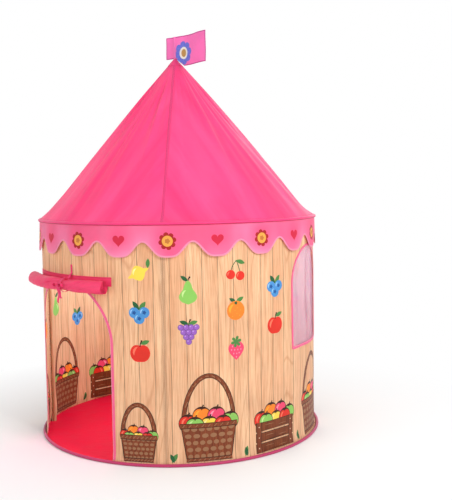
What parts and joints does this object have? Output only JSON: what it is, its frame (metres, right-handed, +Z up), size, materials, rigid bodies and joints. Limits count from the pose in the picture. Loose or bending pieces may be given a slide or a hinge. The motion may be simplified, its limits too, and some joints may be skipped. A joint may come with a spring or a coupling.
{
  "type": "kids play tent",
  "caption": "Round pop-up play tent for children: a cloth drum with an arched door and net windows, a cone roof on jointed poles, a scalloped valance and a flag.",
  "frame": {"origin": "centre of the round floor, on its underside", "axes": "+Z up towards the peak and the flag, -Y out of the door, +X the way the flag flies"},
  "size_m": [1.05, 1.0979, 1.4611],
  "materials": {
    "roof_cloth": "thin satin polyester, plain bright pink",
    "trim_cloth": "pink polyester tape, satin",
    "floor_cloth": "crimson coated polyester, matt",
    "printed_cloth": "thin polyester with a printed pattern of fruit and baskets on plank boards, satin",
    "window_net": "pale pink polyester net",
    "flap_cloth": "thin satin polyester, pink",
    "ribbon": "pink satin ribbon",
    "valance_cloth": "pink polyester with printed hearts and flowers, satin",
    "flag_cloth": "pink violet polyester with a printed flower, satin",
    "pole_white": "white glass-fibre rod and tube, satin",
    "joint_plastic": "black plastic, satin",
    "hoop_steel": "plain spring steel wire"
  },
  "bodies": {
    "root": {"door_binding": "trim_cloth", "door_flap_sheet": "flap_cloth", "door_tie": "ribbon", "eaves_binding": "trim_cloth", "eaves_elbow_back_left": "joint_plastic", "eaves_elbow_back_right": "joint_plastic", "eaves_elbow_front_left": "joint_plastic", "eaves_elbow_front_right": "joint_plastic", "eaves_hoop": "hoop_steel", "flag_mast": "pole_white", "floor_binding": "trim_cloth", "floor_hoop": "hoop_steel", "floor_sheet": "floor_cloth", "peak_cap": "trim_cloth", "peak_hub": "joint_plastic", "roof_gore_back": "roof_cloth", "roof_gore_front": "roof_cloth", "roof_gore_left": "roof_cloth", "roof_gore_right": "roof_cloth", "roof_rod_lower_back_left": "pole_white", "roof_rod_lower_back_right": "pole_white", "roof_rod_lower_front_left": "pole_white", "roof_rod_lower_front_right": "pole_white", "roof_rod_upper_back_left": "pole_white", "roof_rod_upper_back_right": "pole_white", "roof_rod_upper_front_left": "pole_white", "roof_rod_upper_front_right": "pole_white", "seam_tape_back_left": "trim_cloth", "seam_tape_back_right": "trim_cloth", "seam_tape_front_left": "trim_cloth", "seam_tape_front_right": "trim_cloth", "valance": "valance_cloth", "wall_back": "printed_cloth", "wall_front": "printed_cloth", "wall_left": "printed_cloth", "wall_pole_lower_back_left": "pole_white", "wall_pole_lower_back_right": "pole_white", "wall_pole_lower_front_left": "pole_white", "wall_pole_lower_front_right": "pole_white", "wall_pole_upper_back_left": "pole_white", "wall_pole_upper_back_right": "pole_white", "wall_pole_upper_front_left": "pole_white", "wall_pole_upper_front_right": "pole_white", "wall_right": "printed_cloth", "window_left_binding": "trim_cloth", "window_net_left": "window_net", "window_net_right": "window_net", "window_right_binding": "trim_cloth"},
    "door_roll": {"door_roll": "flap_cloth"},
    "flag": {"flag": "flag_cloth"}
  },
  "joints": [
    {"name": "door_roll_drop", "type": "slide", "parent": "root", "child": "door_roll", "axis": [0, 0, -1], "range_m": [0, 0.52], "deforming": ["door_flap_sheet", "door_tie"]},
    {"name": "flag_turn", "type": "hinge", "parent": "root", "child": "flag", "pos_m": [0, 0, 1.4], "axis": [0, 0, 1], "continuous": true}
  ]
}
